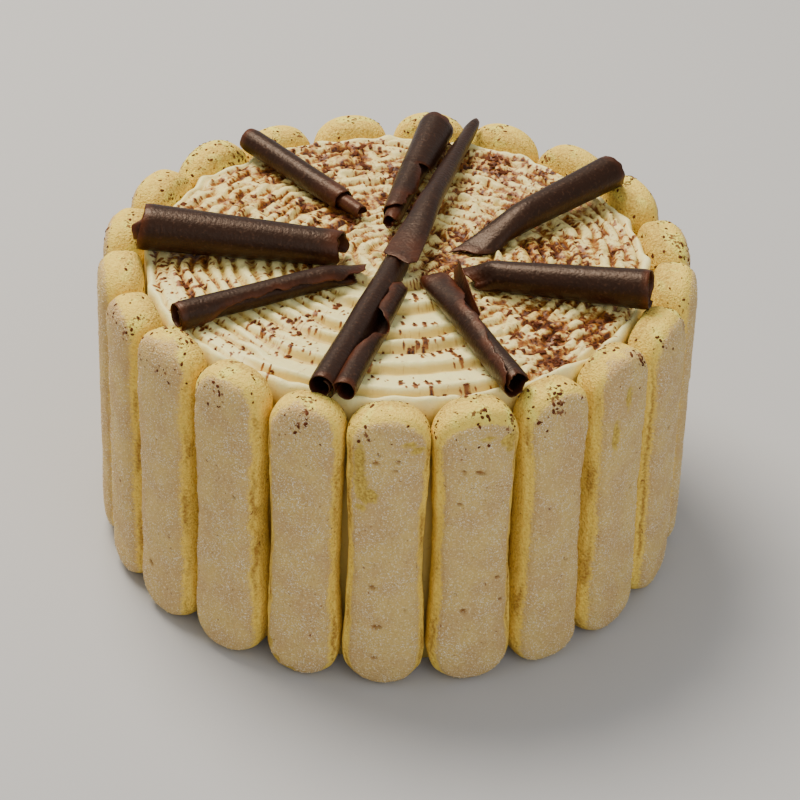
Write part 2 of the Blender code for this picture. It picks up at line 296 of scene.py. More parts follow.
# Whether a spot lies under a curl, or within some room of it
def underCurl(x, y, room):
    point = Vector((x, y))
    for sheet in (sheet for sheets in curls.values() for sheet in sheets):
        start, end = Vector(sheet["outer"][:2]), Vector(sheet["inner"][:2])
        along = end - start
        share = max(0, min(1, (point - start).dot(along) / along.length_squared))
        if (point - start - along * share).length < max(sheet["radii"]) + room:
            return True
    return False


# The combed cream. Heights and radii are in millimetres, angles in degrees. The comb left many narrow
# strands, and on the side of the terraces a few broad ones. Patterns that follow the comb are measured on
# a circle of the radius drawnAt. dab is a small heap on one terrace: its place, half width and half depth.
# band is where a smooth band inside the rim starts, on the left. waver, rough and soft are rows of height,
# wave and seed. rings are the mesh's rings of points, as outer radius and count
cream = dict(
    radius=86.4, level=104.2, terraceSide=267, smoothSide=226, drawnAt=60, strayEnds=88, band=(77.5, 80.5),
    narrowStep=4.9, narrowLevel=2.6, rise=2.0, waver=[(1.6, 9, 2), (0.4, 3.2, 3)],
    broad=[16, 30.6, 46.2, 54.2, 67.6, 81.2], broadStart=7.0, broadHeight=3.4, broadFall=2.6,
    dab=(3.5, -53.2, 5.2, 2.3), dabHeight=0.9,
    rough=[(0.45, 4.8, 10), (0.22, 2.0, 11)], soft=[(0.06, 1.0, 12), (0.45, 38, 13)],
    lip=(83.0, 84.6), lipLift=2.0, grooveRadius=83.7, grooveWidth=0.6, grooveDepth=1.2,
    shoulder=(85.4, 86.4), shoulderDrop=1.3, gapReach=0.07, gapBand=(83.5, 86.4), gapBulge=1.1, gapLift=1.3,
    rings=[(12, 90), (24, 180), (48, 360), (86.4, 720)], ringStep=0.52, wallRows=14,
)


# The broad ridges at a radius: share of the full height, and how deep in a hollow the point is. The second
# share is painted shade: darker and yellower at the foot of each tread and down each steep outward fall
def terrace(radius):
    foot = cream["broadStart"]
    for crest in cream["broad"]:
        if radius < crest:
            share = max(0, (radius - foot) / (crest - foot))
            return share ** 0.75, between(0.2, 0.0, share)
        if radius < crest + cream["broadFall"]:
            share = (radius - crest) / cream["broadFall"]
            return 1 - between(-0.15, 1.0, share), between(0.1, 0.45, share)
        foot = crest + cream["broadFall"]
    return 0.0, 0.1


# How much of the broad terraces there is in this direction, from 0 to 1
def terraced(angle):
    return between(0.78, 0.93, math.cos(angle - math.radians(cream["terraceSide"])))


# On the front left the strands are unbroken
def unbroken(angle):
    return between(0.6, 0.9, math.cos(angle - math.radians(cream["smoothSide"])))


# Height of the top above its base level, and how deep in a hollow the point lies, which the cream's colour
# takes as painted shade
def creamTop(x, y):
    radius, angle = math.hypot(x, y), math.atan2(y, x)
    inside = max(0, math.sin(math.pi * min(1, radius / cream["strayEnds"])))
    calm = terraced(angle)
    band = between(*cream["band"], radius) * between(-0.72, -0.92, math.cos(angle - 0.4))
    smooth = unbroken(angle)
    rough = (1 - 0.85 * max(calm, smooth)) * (1 - band)
    turnX, turnY = math.cos(angle) * cream["drawnAt"], math.sin(angle) * cream["drawnAt"]
    stray = (1.1 * math.sin(2 * angle + 0.6) + 0.7 * math.sin(5 * angle + 0.06 * radius)) * inside
    stray += 0.9 * wander(x, y, 0, 22, 1)
    broad, foot = terrace(radius - stray)
    # narrow strands: rounded on top, with a flat furrow between, and broken across here and there
    at = radius - 1.6 * stray - (1 - 0.6 * smooth) * lumps(x, y, 0, cream["waver"])
    strand, share = divmod(at / cream["narrowStep"], 1)
    crown = between(0.05, 0.38, share) * between(0.99, 0.68, share)
    crack = between(0.16, 0.04, abs(wander(x, y, 31 * strand, 13, 4)))
    crack = max(crack, between(0.12, 0.02, abs(wander(turnX, turnY, 31 * strand + 0.6 * share, 6, 5))) * 0.6)
    crown *= (1 - 0.6 * crack * (1 - 0.8 * smooth)) * (0.75 + 0.5 * wander(turnX, turnY, 13 * strand, 11, 6))
    narrow = max(0, crown, 0.6 * between(0.15, 0.6, wander(x, y, 0, 6, 17)) * (1 - smooth))
    height = cream["narrowLevel"] + cream["rise"] * (narrow - 0.5) * (1 - band)
    dabX, dabY, dabWide, dabDeep = cream["dab"]
    dab = math.exp(-((x - dabX) / dabWide) ** 2 - ((y - dabY) / dabDeep) ** 4)
    height = mix(height, broad * cream["broadHeight"] + 0.2 + cream["dabHeight"] * dab, calm)
    # the comb's teeth drew fine lines outwards over the terraces, and the cream is lumpy
    drawn = wander(turnX, turnY, radius * 0.05, 2.6, 7) + 0.7 * wander(turnX, turnY, radius * 0.12, 1.3, 8)
    height += 0.16 * drawn * between(0, 0.6, broad) * calm + 0.22 * calm * wander(x, y, 0, 5.5, 9)
    height += rough * lumps(x, y, 0, cream["rough"])
    height += lumps(x, y, 0, cream["soft"])
    # a thin lip of cream stands against the ladyfingers
    edge = radius + 0.7 * wander(x, y, 0, 8, 16)
    lip = between(*cream["lip"], edge)
    groove = math.exp(-((edge - cream["grooveRadius"]) / cream["grooveWidth"]) ** 2)
    lifted = cream["lipLift"] + 0.9 * wander(x, y, 0, 11, 14) + 0.4 * wander(x, y, 0, 4, 15)
    height = mix(height, lifted, lip)
    height -= cream["grooveDepth"] * groove + cream["shoulderDrop"] * between(*cream["shoulder"], radius)
    # painted shade in the furrows between strands and at the terraces' feet and falls, and a painted shadow
    # line in the groove inside the lip
    shadedHollow = mix((1 - between(0.12, 0.72, narrow)) * (1 - band), foot, calm)
    return height, max(max(0, min(1, shadedHollow)) * (1 - 0.8 * lip), 0.8 * groove)


# Flakes of grated chocolate and sifted cocoa. cover is how thickly they lie in each direction, as rows of
# degrees and share. fade is where the cocoa ends at the rim, and patches are rows for its loose patches
cocoa = dict(
    tries=32000, seed=23, sizes=(0.13, 1.1), reach=84, fade=(86, 82), trail=3.3, shortTrail=2.0,
    shardSize=1, shardSeed=5, settle=0.12, thick="#361508", thin="#743a16",
    patches=[(1, 13, 11), (0.6, 4.5, 18)],
    cover=[(0, 1.0), (25, 0.95), (60, 0.9), (90, 0.9), (120, 0.95), (150, 1.0), (180, 0.9),
           (205, 0.65), (232, 0.38), (250, 0.36), (285, 0.36), (300, 0.75), (325, 1.0), (360, 1.0)],
)


def coverAt(angle):
    degrees = math.degrees(angle) % 360
    for (low, first), (high, second) in zip(cocoa["cover"], cocoa["cover"][1:]):
        if low <= degrees <= high:
            return mix(first, second, (degrees - low) / (high - low))
    return 0.5


# Loose patches, some thick and some thin
def patchAt(x, y):
    return between(-0.55, 0.8, lumps(x, y, 0, cocoa["patches"]))


# A thin veil of cocoa over the strands, where much was sifted
def veilAt(x, y):
    cover = coverAt(math.atan2(y, x)) * between(*cocoa["fade"], math.hypot(x, y))
    return between(0.55, 0.95, cover) * (0.35 + 0.65 * patchAt(x, y))


# Where each flake lands: they gather in the hollows and in loose patches
def dropFlakes():
    draw = random.Random(cocoa["seed"])
    flakes = []
    for _ in range(cocoa["tries"]):
        radius, angle = cocoa["reach"] * math.sqrt(draw.random()), draw.uniform(0, 2 * math.pi)
        x, y = radius * math.cos(angle), radius * math.sin(angle)
        patch, calm = patchAt(x, y), terraced(angle)
        size = mix(*cocoa["sizes"], draw.random() ** 3) * mix(0.75, 1.35, patch)
        chance, turn = draw.random(), draw.uniform(0, 2 * math.pi)
        height, shadedHollow = creamTop(x, y)
        if chance > coverAt(angle) * mix(0.2 + 0.4 * shadedHollow, 0.2, calm) * (0.16 + 0.84 * patch):
            continue
        flakes.append((x, y, height, size, turn))
    return flakes


# shadedHollow is painted shade: a darker, yellower cream where the hollows, falls, groove and wall lie in
# shade
creamTones = dict(lit="#fff9b6", warm="#fff09f", shadedHollow="#dab54a", smear="#985a18", cocoa="#4b2207")


# Mascarpone cream: whipped, fatty and matt, so it is pale, soft and slightly see-through at its edges.
# Cocoa powder melts into it as red-brown smears, drawn outwards the way the comb and the damp drew it
def makeCream():
    material, tree, shader = newMaterial("whippedMascarponeCream", {
        "Roughness": 0.5, "IOR": 1.46, "Subsurface Weight": 0.12, "Subsurface Radius": (1.0, 0.75, 0.45),
        "Subsurface Scale": 2.0 * mm})
    tones = linearTones(creamTones)
    point = addNode(tree, "ShaderNodeTexCoord").outputs["Object"]
    drag = addNode(tree, "ShaderNodeAttribute", {"attribute_name": "drag"}).outputs["Vector"]
    stain, shadedHollow, cover = [addNode(tree, "ShaderNodeAttribute", {"attribute_name": name}).outputs["Fac"]
                            for name in ("stain", "shadedHollow", "cover")]
    broad, fine = [addNode(tree, "ShaderNodeTexNoise", inputs={
        "Vector": point, "Scale": 1 / (size * mm), "Detail": detail}).outputs["Fac"]
        for size, detail in ((14, 3.0), (1.5, 4.0))]
    smear = addNode(tree, "ShaderNodeTexNoise", inputs={
        "Vector": drag, "Scale": 1 / 2.0, "Detail": 4.0, "Roughness": 0.6})
    pale = addNode(tree, "ShaderNodeMix", blendColours, {0: broad, 6: tones["lit"], 7: tones["warm"]})
    # painted shade first: the shadedHollow tone where the mask says the cream lies in shade or under a thin
    # veil of cocoa
    layers = [addNode(tree, "ShaderNodeMath", {"operation": "MULTIPLY"}, {0: shadedHollow, 1: 0.8})]
    # dust: the noise has to pass a bar that is lower where the cover is thicker
    bar = addNode(tree, "ShaderNodeMath", {"operation": "MULTIPLY_ADD"}, {0: cover, 1: 0.5, 2: -0.68})
    dust = addNode(tree, "ShaderNodeMath", {"operation": "ADD"},
                   {0: smear.outputs["Fac"], 1: bar.outputs[0]})
    ragged = addNode(tree, "ShaderNodeMath", {"operation": "MULTIPLY_ADD"}, {0: fine, 1: 1.2, 2: -0.6})
    trail = addNode(tree, "ShaderNodeMath", {"operation": "ADD"}, {0: stain, 1: ragged.outputs[0]})
    # the red-brown smear first, then its dark core, each where the dust or a flake's trail is thick enough
    for bands in (((dust, -0.06, 0.16), (trail, 0.12, 0.55)), ((dust, 0.14, 0.34), (trail, 0.6, 0.9))):
        first, second = [addNode(tree, "ShaderNodeMapRange", softRange, {
            "Value": value.outputs[0], "From Min": low, "From Max": high}).outputs[0]
            for value, low, high in bands]
        layers.append(addNode(tree, "ShaderNodeMath", {"operation": "MAXIMUM"}, {0: first, 1: second}))
    colour = pale.outputs[2]
    for layer, tone in zip(layers, ("shadedHollow", "smear", "cocoa")):
        colour = addNode(tree, "ShaderNodeMix", blendColours,
                         {0: layer.outputs[0], 6: colour, 7: tones[tone]}).outputs[2]
    bump = addNode(tree, "ShaderNodeBump", inputs={"Strength": 0.6, "Distance": 0.35 * mm, "Height": fine})
    tree.links.new(colour, shader.inputs["Base Color"])
    tree.links.new(bump.outputs["Normal"], shader.inputs["Normal"])
    return material


# Grated dark chocolate with cocoa powder on it: matt, red-brown where it is thin
def makeFlakeChocolate():
    material, tree, shader = newMaterial("gratedDarkChocolate", {
        "Roughness": 0.75, "Specular IOR Level": 0.2})
    point = addNode(tree, "ShaderNodeTexCoord").outputs["Object"]
    patch = addNode(tree, "ShaderNodeTexNoise", inputs={"Vector": point, "Scale": 1 / (1.2 * mm)})
    tone = addNode(tree, "ShaderNodeMix", blendColours, {
        0: patch.outputs["Fac"], 6: linearColour(cocoa["thick"]), 7: linearColour(cocoa["thin"])})
    tree.links.new(tone.outputs[2], shader.inputs["Base Color"])
    return material


# How far the rim is pressed out between two ladyfingers, from 0 to 1
def inGap(angle):
    best = min(abs((angle - gap + math.pi) % (2 * math.pi) - math.pi) for gap in gapAngles)
    return between(cream["gapReach"], 0.0, best)


# How deep each flake has stained the cream round it and along its trail, which runs outwards
def stainTrails(points, top, flakes):
    tree = kdtree.KDTree(top)
    for index, point in enumerate(points[:top]):
        tree.insert((point[0], point[1], 0), index)
    tree.balance()
    stains = [0.3 * veilAt(x, y) if index < top else 0.0 for index, (x, y, _) in enumerate(points)]
    for x, y, _, size, turn in flakes:
        radius = max(1, math.hypot(x, y))
        outX, outY = x / radius, y / radius
        length = mix(cocoa["shortTrail"], cocoa["trail"], terraced(math.atan2(y, x)))
        length *= size * (0.6 + 0.8 * abs(math.sin(7 * turn)))
        wide = 0.6 * size + 0.35
        middle = (x + outX * length / 2, y + outY * length / 2, 0)
        for spot, index, _ in tree.find_range(middle, length / 2 + 1.2):
            dx, dy = spot[0] - x, spot[1] - y
            along, across = dx * outX + dy * outY - length / 2, dx * -outY + dy * outX
            distance = math.hypot(along / (length / 2 + 0.5), across / wide)
            fade = 1 - 0.35 * max(0, along / length + 0.5)
            stains[index] = max(stains[index], fade * (1 - between(0.35, 1.25, distance)))
    return stains


def buildCream(flakes, material):
    points, shadedHollowsAndVeil, covers, drags = [], [], [], []

    def keep(point, shadedHollow=1.0, cover=0, drag=(0, 0, 0)):
        for values, value in ((points, point), (shadedHollowsAndVeil, shadedHollow), (covers, cover), (drags, drag)):
            values.append(value)

    height, shadedHollow = creamTop(0, 0)
    keep((0, 0, cream["level"] + height), shadedHollow, 0.5)
    rows, starts, inner = [], [], 0
    for outer, count in cream["rings"]:
        rounds = round((outer - inner) / cream["ringStep"])
        rows += [(inner + (outer - inner) * i / rounds, count) for i in range(1, rounds + 1)]
        inner = outer
    for radius, count in rows:
        starts.append(len(points))
        for k in range(count):
            angle = 2 * math.pi * k / count
            pressed = inGap(angle) * between(*cream["gapBand"], radius)
            x, y = radius * math.cos(angle), radius * math.sin(angle)
            height, shadedHollow = creamTop(x, y)
            height += cream["gapLift"] * pressed
            reach = (radius + cream["gapBulge"] * pressed) / radius
            calm = terraced(angle)
            cover = (coverAt(angle) * mix(0.15 + 0.85 * shadedHollow, 0.12 + 0.4 * shadedHollow, calm)
                     * (0.55 + 0.45 * patchAt(x, y)) * between(*cocoa["fade"], radius))
            drag = (cream["drawnAt"] * math.cos(angle), cream["drawnAt"] * math.sin(angle),
                    mix(0.75, 0.35, calm) * radius)
            # the shade mask holds the larger of the painted shade of the hollows and the thin veil of cocoa
            keep((x * reach, y * reach, cream["level"] + height), max(shadedHollow, veilAt(x, y)), cover, drag)
    top = len(points)
    # rings of different counts meet where one has twice as many points as the next
    firstCount = rows[0][1]
    faces = [(0, starts[0] + k, starts[0] + (k + 1) % firstCount) for k in range(firstCount)]
    for (_, count), (_, nextCount), start, nextStart in zip(rows, rows[1:], starts, starts[1:]):
        for k in range(count):
            a, b = start + k, start + (k + 1) % count
            if nextCount == count:
                faces.append((a, nextStart + k, nextStart + (k + 1) % count, b))
            else:
                c, d, e = nextStart + 2 * k, nextStart + 2 * k + 1, nextStart + (2 * k + 2) % nextCount
                faces += [(a, c, d), (a, d, b), (b, d, e)]
    # wall, a little bulged between the ladyfingers, and base, which take the full painted shade tone as they
    # lie in shade between the ladyfingers
    count, above = rows[-1][1], starts[-1]
    edge = points[above:above + count]
    for row in range(1, cream["wallRows"] + 1):
        share = row / cream["wallRows"]
        start = len(points)
        for k in range(count):
            angle = 2 * math.pi * k / count
            turnX, turnY = cream["drawnAt"] * math.cos(angle), cream["drawnAt"] * math.sin(angle)
            bulge = cream["gapBulge"] * inGap(angle) * between(0, 0.05, 1 - share)
            out = cream["radius"] + bulge + 0.25 * wander(turnX, turnY, 110 * share, 12, 9)
            out = mix(math.hypot(*edge[k][:2]), out, min(1, share * 6))
            keep((out * math.cos(angle), out * math.sin(angle), edge[k][2] * (1 - share)))
            faces.append((above + k, start + k, start + (k + 1) % count, above + (k + 1) % count))
        above = start
    keep((0, 0, 0))
    faces += [(above + k, len(points) - 1, above + (k + 1) % count) for k in range(count)]
    piece = newPiece("combedCream", points, faces, [material], {
        "shadedHollow": shadedHollowsAndVeil, "stain": stainTrails(points, top, flakes), "cover": covers})
    layer = piece.data.attributes.new("drag", "FLOAT_VECTOR", "POINT")
    layer.data.foreach_set("vector", [value for drag in drags for value in drag])
    return piece


# The flakes are broken shards, one instance on each point, laid nearly flat
def flakeTree():
    tree, given = newTree("chocolateFlakes",
                          {"Shard Size": "Float", "Flake Chocolate": "Material", "Seed": "Int"})
    size = addNode(tree, "GeometryNodeInputNamedAttribute", {"data_type": "FLOAT"}, {"Name": "size"})
    shards = []
    for seed, stretch in enumerate(((1.6, 0.6, 0.3), (1.1, 0.9, 0.3), (1.0, 0.5, 0.45))):
        ball = addNode(tree, "GeometryNodeMeshIcoSphere",
                       inputs={"Radius": given.outputs["Shard Size"], "Subdivisions": 1})
        crack = addNode(tree, "FunctionNodeRandomValue", {"data_type": "FLOAT_VECTOR"},
                        {0: (0.5, 0.5, 0.5), 1: (1.4, 1.4, 1.3), 8: seed})
        spot = addNode(tree, "GeometryNodeInputPosition")
        rough = addNode(tree, "ShaderNodeVectorMath", {"operation": "MULTIPLY"},
                        {0: spot.outputs[0], 1: crack.outputs[0]})
        broken = addNode(tree, "GeometryNodeSetPosition",
                         inputs={"Geometry": ball.outputs["Mesh"], "Position": rough.outputs[0]})
        flat = addNode(tree, "GeometryNodeTransform",
                       inputs={"Geometry": broken.outputs[0], "Scale": stretch})
        shards.append(addNode(tree, "GeometryNodeGeometryToInstance", inputs={"Geometry": flat.outputs[0]}))
    choice = addNode(tree, "GeometryNodeJoinGeometry")
    for shard in shards:
        tree.links.new(shard.outputs[0], choice.inputs[0])
    lean = addNode(tree, "FunctionNodeRandomValue", {"data_type": "FLOAT_VECTOR"},
                   {0: (-0.45, -0.45, 0), 1: (0.45, 0.45, 6.28), 8: given.outputs["Seed"]})
    laid = addNode(tree, "GeometryNodeInstanceOnPoints", inputs={
        "Points": given.outputs["Geometry"], "Instance": choice.outputs[0], "Pick Instance": True,
        "Rotation": lean.outputs[0], "Scale": size.outputs[0]})
    solid = addNode(tree, "GeometryNodeRealizeInstances", inputs={"Geometry": laid.outputs[0]})
    dressed = addNode(tree, "GeometryNodeSetMaterial",
                      inputs={"Geometry": solid.outputs[0], "Material": given.outputs["Flake Chocolate"]})
    addNode(tree, "NodeGroupOutput", inputs={0: dressed.outputs[0]})
    return tree


creamMaterial = makeCream()
flakeMaterial = makeFlakeChocolate()
flakes = dropFlakes()
creamPiece = buildCream(flakes, creamMaterial)
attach(creamPiece, "root")
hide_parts("cream_cake")
print("cream:", len(creamPiece.data.vertices), "vertices,", len(flakes), "flakes")

seen = [flake for flake in flakes if not underCurl(flake[0], flake[1], -1)]
flakePoints = [(x, y, cream["level"] + height + cocoa["settle"] * size) for x, y, height, size, _ in seen]
flakeSizes = [size for _, _, _, size, _ in seen]
flakePiece = newPiece("chocolateFlakes", flakePoints, [], [flakeMaterial], {"size": flakeSizes})
growTree(flakePiece, flakeTree(), {
    "Shard Size": cocoa["shardSize"] * mm, "Flake Chocolate": flakeMaterial, "Seed": cocoa["shardSeed"]})
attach(flakePiece, "root")
print("flakes:", len(flakePiece.data.polygons), "faces")


# Ladyfingers: piped sponge, dusted with sugar before baking, so a pale crust with sugar grains sits on
# the yellow sponge and breaks away from it along its edge. Millimetres. Places on the crust are across
# to the right seen from outside, and up from the foot. The left and the right edge take their waviness
# from places as far apart as handApart. tipBand and footBand are heights below the tip and above the foot
biscuit = dict(
    rows=150, columns=88, capRows=0.18, capShare=0.46, blunt=2.35, handApart=40,
    tipBand=(15, 4), footBand=(20, 6), crustLift=0.8, crustShare=0.86, topInset=2.0, bottomInset=0.8,
    grooveDepth=0.5, bareDepth=0.55, pitDepth=0.9,
    relief=[(0.35, 15, 15), (0.15, 4.5, 16)], crustEdge=[(0.5, 8, 12), (0.3, 2.4, 13)],
    sugarGrain=0.33, sugarPerSquareMm=0.65, specksPerSquareMm=0.32,
    # how far the crust stays below the tip, by number, where it isn't the usual inset
    ownInset={2: 0.8, 3: 0.3, 4: 1.4, 5: 0.4, 6: 1.8, 7: 5.0, 8: 1.8, 9: 0.4, 10: 1.5, 13: 3.4,
              16: 0.8, 19: 3.0},
    # places where the sugar has come off, by number: rows of across, height, half width, half height
    bare={5: [(-10.5, 12, 1.8, 3), (-8, 5.5, 2.2, 2), (-3.5, 2.5, 2.6, 1.4)],
          6: [(-9.2, 93, 1.8, 6.5), (-8.4, 84, 2.2, 5), (-6.4, 79.5, 3.6, 3.0), (-8.6, 74.5, 1.6, 1.2),
              (9.2, 97.5, 2.2, 1.2), (7.4, 100, 2.2, 0.8)],
          7: [(9.5, 98, 3.0, 2.2), (10, 95, 1.6, 2.2), (2.5, 100.5, 2.2, 0.8)],
          9: [(-1.5, 98, 1.6, 4.5), (-6.5, 85, 1.4, 6)],
          12: [(4, 60, 2, 3)], 15: [(-6, 85, 2.4, 6)], 17: [(7, 20, 3, 3)], 20: [(-5, 50, 2, 4)]},
    # burst bubbles in the crust: rows of across, height, half width
    pits={3: [(-3, 21, 1.0), (-2.6, 20.4, 0.7)], 4: [(6, 68, 0.5)],
          6: [(-3.8, 93, 0.9), (-3.0, 96, 0.6), (3.4, 93.5, 0.6), (2.6, 90, 0.5), (-4, 43, 1.0),
              (-2.8, 26.5, 1.2), (-1.6, 26.7, 1.0), (-3, 13.5, 0.9), (6.8, 34, 0.5)],
          7: [(-0.8, 88, 1.0), (0.4, 87.2, 0.9), (-5.4, 88.6, 0.7), (-6.5, 76, 0.7), (3, 71, 0.4),
              (7.2, 43.5, 0.8), (8.5, 34, 0.7), (-4.2, 32, 1.0), (-7, 39, 0.5), (-2.5, 24, 0.5)],
          9: [(3, 60, 0.7)], 10: [(-4, 70, 0.8)], 13: [(2, 80, 0.9), (5, 30, 0.7)],
          16: [(-3, 55, 1.0)], 18: [(4, 90, 0.8)], 21: [(-2, 35, 0.9)]},
)


def signedPower(value, power):
    return math.copysign(abs(value) ** power, value)


# A biscuit's section at a turn round it, from -1 to 1: a low crown outside and a flat base inside
def biscuitOutline(turn):
    across, out = math.sin(turn), math.cos(turn)
    if out >= 0:
        return signedPower(across, 0.8), 0.2 + 0.8 * out ** 0.85
    return signedPower(across, 0.5) * (1 + 0.10 * out), 0.2 - 1.2 * (-out) ** 0.4


# The columns lie closer together on the crown, which shows, than on the base
def columnTurns():
    shares = [2 * k / biscuit["columns"] - 1 for k in range(biscuit["columns"])]
    return [math.pi * (0.72 * share + 0.28 * share ** 3) for share in shares]


# Each level of points, from the foot to the tip: which half it is in, as far as -1 or 1 where the cap
# starts, and how far round the cap it is
def biscuitLevels():
    rows = biscuit["rows"]
    capRows = round(rows * biscuit["capRows"])
    levels = []
    for row in range(1, rows):
        if row < capRows:
            levels.append((-1, math.pi / 2 * (1 - row / capRows)))
        elif row > rows - capRows:
            levels.append((1, math.pi / 2 * (1 - (rows - row) / capRows)))
        else:
            levels.append((2 * (row - capRows) / (rows - 2 * capRows) - 1, 0))
    return levels


def buildLadyfinger(number, place, material, tree, sugar):
    width, height = place["width"], place["height"]
    half, cap = width / 2, biscuit["capShare"] * width
    straight = height / 2 - cap
    thick = ring["thickness"] / 2 - biscuit["crustLift"]
    blunt = 2 / biscuit["blunt"]
    turns = columnTurns()
    points, data = [], {"inside": [], "toastAndCreaseShade": [], "grain": [], "speck": [], "pit": [], "worn": []}

    def keep(x, y, z, *values):
        points.append((x, y, z))
        for key, value in zip(data, values):
            data[key].append(value)

    bare = biscuit["bare"].get(number, [])
    pits = biscuit["pits"].get(number, [])
    keep(0, 0.1 * thick, 0, 1, 0.3, 0, 0, 0, 0)
    for side, bend in biscuitLevels():
        beyond = cap * math.sin(bend) ** blunt if bend else 0
        shrink = math.cos(bend) ** blunt if bend else 1
        z = math.copysign(straight + beyond, side) if bend else side * straight
        reach = abs(z)
        pinch = 1 - ring["waist"] * math.cos(math.pi / 2 * min(1, reach / straight)) ** 2
        inset = biscuit["ownInset"].get(number, biscuit["topInset"]) if side > 0 else biscuit["bottomInset"]
        top = between(*(height / 2 - drop for drop in biscuit["tipBand"]), z)
        foot = between(*biscuit["footBand"], z + height / 2)
        for turn in turns:
            across, out = biscuitOutline(turn)
            hand = math.copysign(biscuit["handApart"], across)
            edge = 0.045 * abs(wander(hand, 0, z, 19, number))
            edge += 0.02 * abs(wander(hand, 0, z, 7, number + 30))
            wide = half * pinch * (1 - edge)
            x = across * wide * shrink
            y = out * thick * (shrink ** 0.55)
            seen, flank = -x, number * 31
            # distance inside the crust's edge, which wanders
            coverWide = biscuit["crustShare"] * wide * (1 + 0.05 * wander(hand, 9, z, 26, number + 60))
            capReach = (beyond / (cap - inset)) if bend else 0
            spread = (abs(x / coverWide) ** 2.5 + capReach ** 2.5) ** 0.4
            inside = (1 - spread) * coverWide
            inside += lumps(x, flank, z, biscuit["crustEdge"])
            if out < 0:
                inside = -9
            plate = between(-0.5, 1.2, inside)
            groove = math.exp(-((inside + 0.9) / 0.9) ** 2) * (1 - 0.7 * top)
            lift, pit, hole = biscuit["crustLift"] * plate, 0, 9
            if out > 0:
                for bareX, bareZ, bareWide, bareHigh in bare:
                    away = math.hypot((seen - bareX) / bareWide, (z + height / 2 - bareZ) / bareHigh) - 1
                    hole = min(hole, away * min(bareWide, bareHigh) + 0.35 * wander(x, flank, z, 2.2, 14))
                for pitX, pitZ, pitWide in pits:
                    away = math.hypot(seen - pitX, (z + height / 2 - pitZ) * 1.4) / (1.25 * pitWide)
                    pit = max(pit, between(1.2, 0.5, away))
            lift -= biscuit["bareDepth"] * between(0.35, -0.35, hole) * plate + biscuit["pitDepth"] * pit
            relief = lumps(x, flank, z, biscuit["relief"])
            grain = 0.10 * wander(x, flank, z, 1.3, 17) * plate
            y += (lift - biscuit["grooveDepth"] * groove + min(0.05, relief) + grain) * (shrink ** 0.5)
            # along the break: partly toast, partly painted shade in the crease where the crust meets the
            # sponge
            breakToastAndShade = groove * (0.45 + 0.55 * between(-0.5, 0.6, wander(hand, 5, z, 16, number + 90)))
            toastAndCreaseShade = max(0.74 * breakToastAndShade, 0.35 * between(0.7, 0.2, out), 0.6 * foot * between(0.6, 0.2, out),
                        0.52 * top * between(0.15, -0.5, out))
            cluster = between(-0.5, 0.7, wander(x, flank, z, 8, 18))
            sugared = between(0, 1, min(inside, hole)) * (0.12 + 0.88 * cluster)
            # near the tip: where cocoa shreds lie, and where the sponge takes a painted highlight, lighter
            # and yellower as if lit from above
            strewn = top * (0.1 + 0.9 * between(0.05, 0.6, wander(x, flank, y + z, 6, 19)))
            keep(x, y, z + height / 2, max(-2, min(2, inside, hole)), toastAndCreaseShade, sugared, strewn, pit,
                 between(1.2, -0.3, hole))
    keep(0, 0.1 * thick, height, -2, 0.2, 0, 1, 0, 0)
    columns = len(turns)
    faces = [(0, 1 + (k + 1) % columns, 1 + k) for k in range(columns)]
    for row in range(biscuit["rows"] - 2):
        start = 1 + row * columns
        for k in range(columns):
            after = (k + 1) % columns
            faces.append((start + k, start + after, start + columns + after, start + columns + k))
    last = len(points) - 1 - columns
    faces += [(last + k, last + (k + 1) % columns, len(points) - 1) for k in range(columns)]
    # it is turned and leaned into its place, and stood on its lowest point
    angle, radius = place["angle"], ring["radius"]
    tilt = Euler((0, math.asin(place["lean"] / height), angle - math.pi / 2)).to_matrix()
    stood = [tilt @ Vector(point) for point in points]
    lowest = min(point.z for point in stood)
    shift = Vector((radius * math.cos(angle), radius * math.sin(angle), -lowest))
    piece = newPiece(f"ladyfinger{number:02d}", [point + shift for point in stood], faces, [material], data)
    growTree(piece, tree, {"Grain Size": biscuit["sugarGrain"] * mm, "Sugar": sugar, "Cocoa": flakeMaterial,
                           "Grain Density": biscuit["sugarPerSquareMm"] / mm ** 2,
                           "Speck Density": biscuit["specksPerSquareMm"] / mm ** 2, "Seed": number})
    return piece


